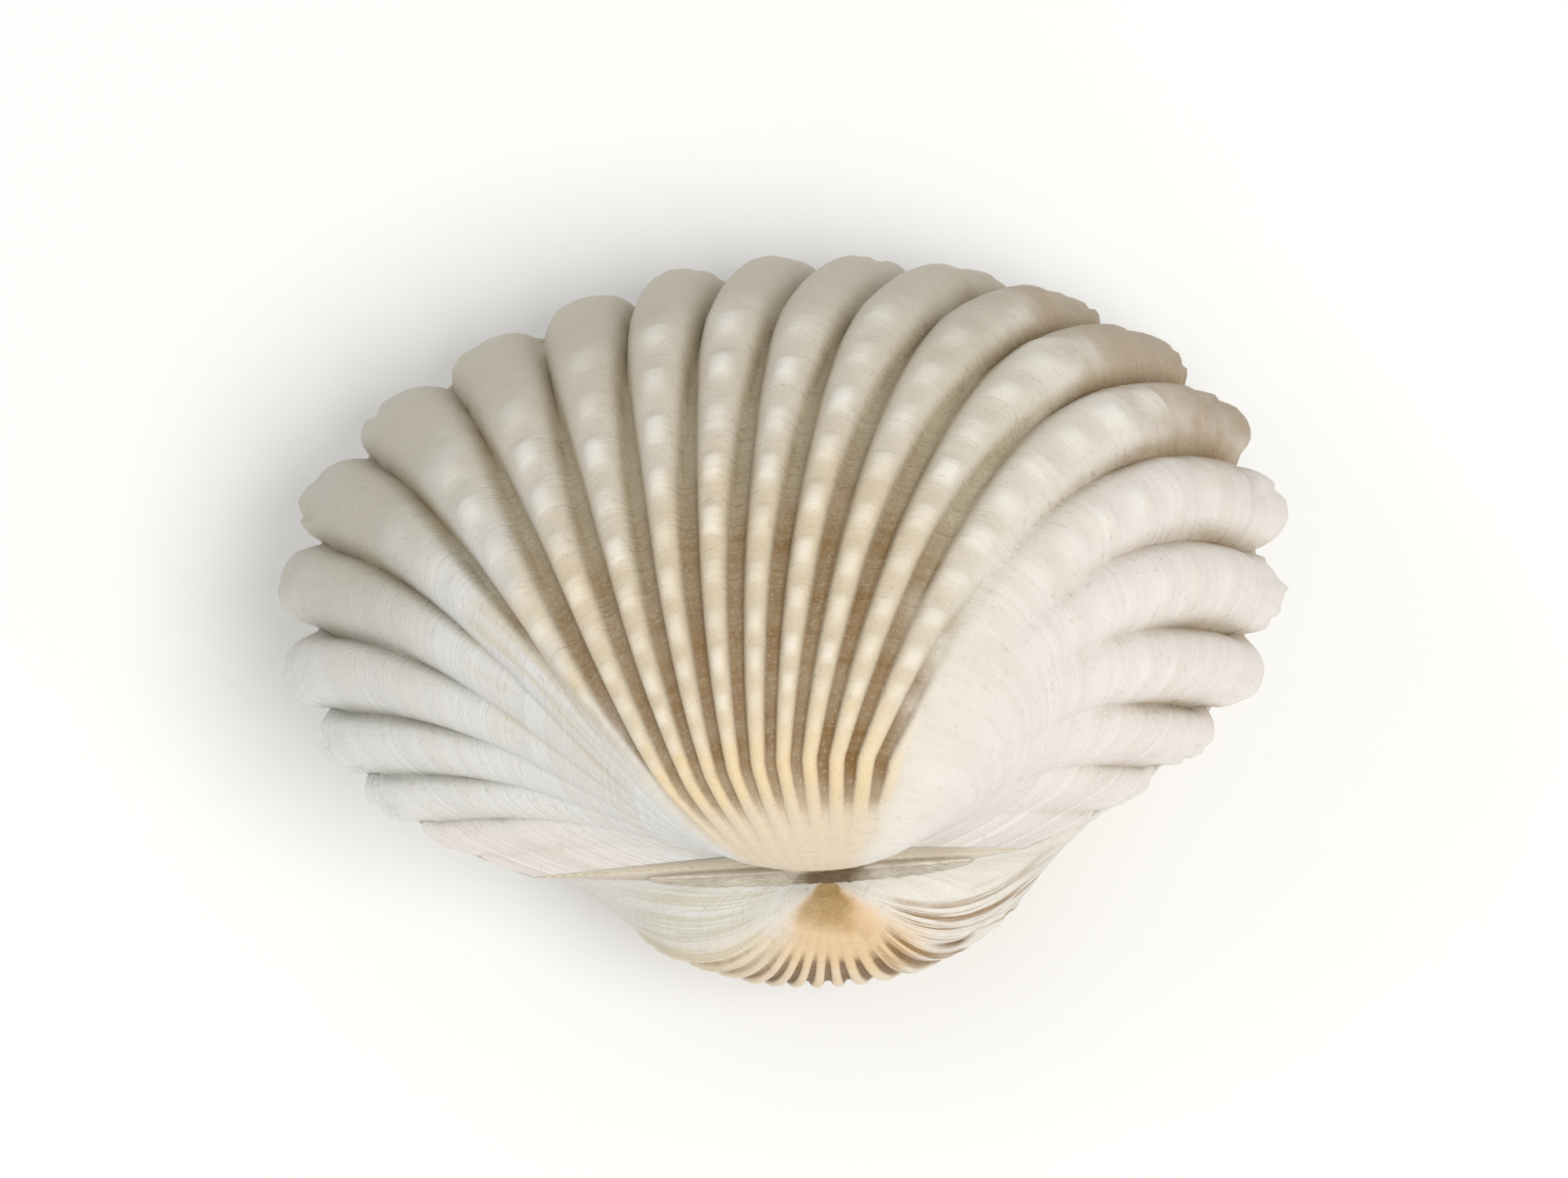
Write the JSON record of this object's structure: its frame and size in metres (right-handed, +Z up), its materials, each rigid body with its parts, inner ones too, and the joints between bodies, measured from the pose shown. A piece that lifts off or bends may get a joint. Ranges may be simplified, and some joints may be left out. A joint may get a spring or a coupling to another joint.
{
  "type": "ark shell",
  "caption": "Closed ark shell, both ribbed and beaded halves together with the dried ligament between the beaks, resting on its side.",
  "frame": {"origin": "on the ground, under the middle of the shell's box", "axes": "+X along the hinge to the front end, +Y towards the belly margin, +Z up out of the left valve's side"},
  "size_m": [0.0338, 0.026, 0.0205],
  "materials": {
    "left_valve_shell": "dry chalky white with bluish grey and warm flanks and olive brown grooves",
    "right_valve_shell": "dry chalky white with an orange cream beak and brown grooves",
    "dried_ligament": "dull dried olive brown"
  },
  "bodies": {
    "root": {"left_valve": "left_valve_shell", "right_valve": "right_valve_shell", "ligament": "dried_ligament"}
  },
  "joints": []
}
